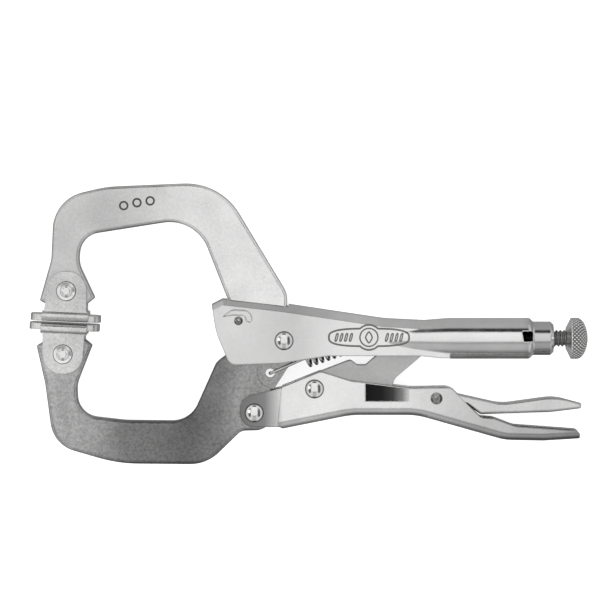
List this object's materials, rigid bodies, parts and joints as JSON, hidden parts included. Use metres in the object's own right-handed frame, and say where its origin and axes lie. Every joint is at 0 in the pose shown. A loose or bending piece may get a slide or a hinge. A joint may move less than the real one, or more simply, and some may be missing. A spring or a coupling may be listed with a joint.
{
  "type": "locking pliers",
  "caption": "Locking C-clamp pliers with swivel pads, a toggle lock, a return spring, an adjusting screw with a knurled knob and a release lever.",
  "frame": {"origin": "centre of the tool's box, on the mid-plane of the jaws, with the pads closed and the handles locked", "axes": "+X from the jaws to the adjusting knob, +Y from the movable jaw towards the fixed jaw, +Z across the plates, along every rivet"},
  "size_m": [0.1523, 0.0767, 0.0122],
  "materials": {
    "plated_sheet": "satin nickel plate over folded steel sheet",
    "plated_forging": "satin nickel plate over forged steel",
    "plated_pad": "nickel plate over stamped steel",
    "plated_rivet": "polished nickel plate",
    "small_rivet": "nickel plate, dull in the bore",
    "plated_link": "plated steel plate",
    "screw_steel": "bright steel rod, rolled thread",
    "plated_knob": "knurled, nickel plated",
    "spring_wire": "drawn spring wire"
  },
  "bodies": {
    "upper_handle": {"upper_handle_body": "plated_sheet", "fixed_jaw": "plated_forging", "fixed_jaw_rivet": "small_rivet", "jaw_pivot_rivet": "plated_rivet", "upper_pad_rivet": "plated_rivet", "jaw_spring": "spring_wire"},
    "jaw": {"movable_jaw": "plated_forging", "handle_rivet": "plated_rivet", "lower_pad_rivet": "plated_rivet"},
    "handle": {"lower_handle": "plated_sheet", "link_rivet": "plated_rivet", "release_lever_pin": "plated_rivet"},
    "link": {"toggle_link": "plated_link"},
    "lever": {"release_lever": "plated_sheet"},
    "upper_pad": {"upper_swivel_pad": "plated_pad"},
    "lower_pad": {"lower_swivel_pad": "plated_pad"},
    "screw": {"adjusting_screw": "screw_steel"},
    "knob": {"adjusting_knob": "plated_knob"}
  },
  "joints": [
    {"name": "jaw_open", "type": "hinge", "parent": "upper_handle", "child": "jaw", "pos_m": [-0.0067, -0.0045, 0], "axis": [0, 0, 1], "range_deg": [0, 30], "deforming": ["jaw_spring"]},
    {"name": "handle_fold", "type": "hinge", "parent": "jaw", "child": "handle", "pos_m": [-0.0148, -0.0242, 0], "axis": [0, 0, -1], "range_deg": [0, 75]},
    {"name": "link_fold", "type": "hinge", "parent": "handle", "child": "link", "pos_m": [0.0016, -0.0176, 0], "axis": [0, 0, 1], "range_deg": [0, 74]},
    {"name": "release_press", "type": "hinge", "parent": "handle", "child": "lever", "pos_m": [0.0348, -0.0202, 0], "axis": [0, 0, -1], "range_deg": [0, 7]},
    {"name": "upper_pad_swivel", "type": "hinge", "parent": "upper_handle", "child": "upper_pad", "pos_m": [-0.0659, 0.009, 0], "axis": [0, 0, 1], "range_deg": [0, 15]},
    {"name": "lower_pad_swivel", "type": "hinge", "parent": "jaw", "child": "lower_pad", "pos_m": [-0.0669, -0.0082, 0], "axis": [0, 0, -1], "range_deg": [0, 15]},
    {"name": "screw_travel", "type": "slide", "parent": "upper_handle", "child": "screw", "axis": [1, 0, 0], "range_m": [0, 0.018]},
    {"name": "knob_turn", "type": "hinge", "parent": "screw", "child": "knob", "pos_m": [0.0732, -0.0041, 0], "axis": [1, 0, 0], "range_deg": [0, 6130]}
  ],
  "couplings": [
    {"joint": "handle_fold", "follows": "jaw_open", "ratio": 2.47},
    {"joint": "link_fold", "follows": "jaw_open", "ratio": 2.45},
    {"joint": "upper_pad_swivel", "follows": "jaw_open", "ratio": 0.5},
    {"joint": "lower_pad_swivel", "follows": "jaw_open", "ratio": 0.5},
    {"joint": "knob_turn", "follows": "screw_travel", "rad_per_m": 5938.7}
  ]
}
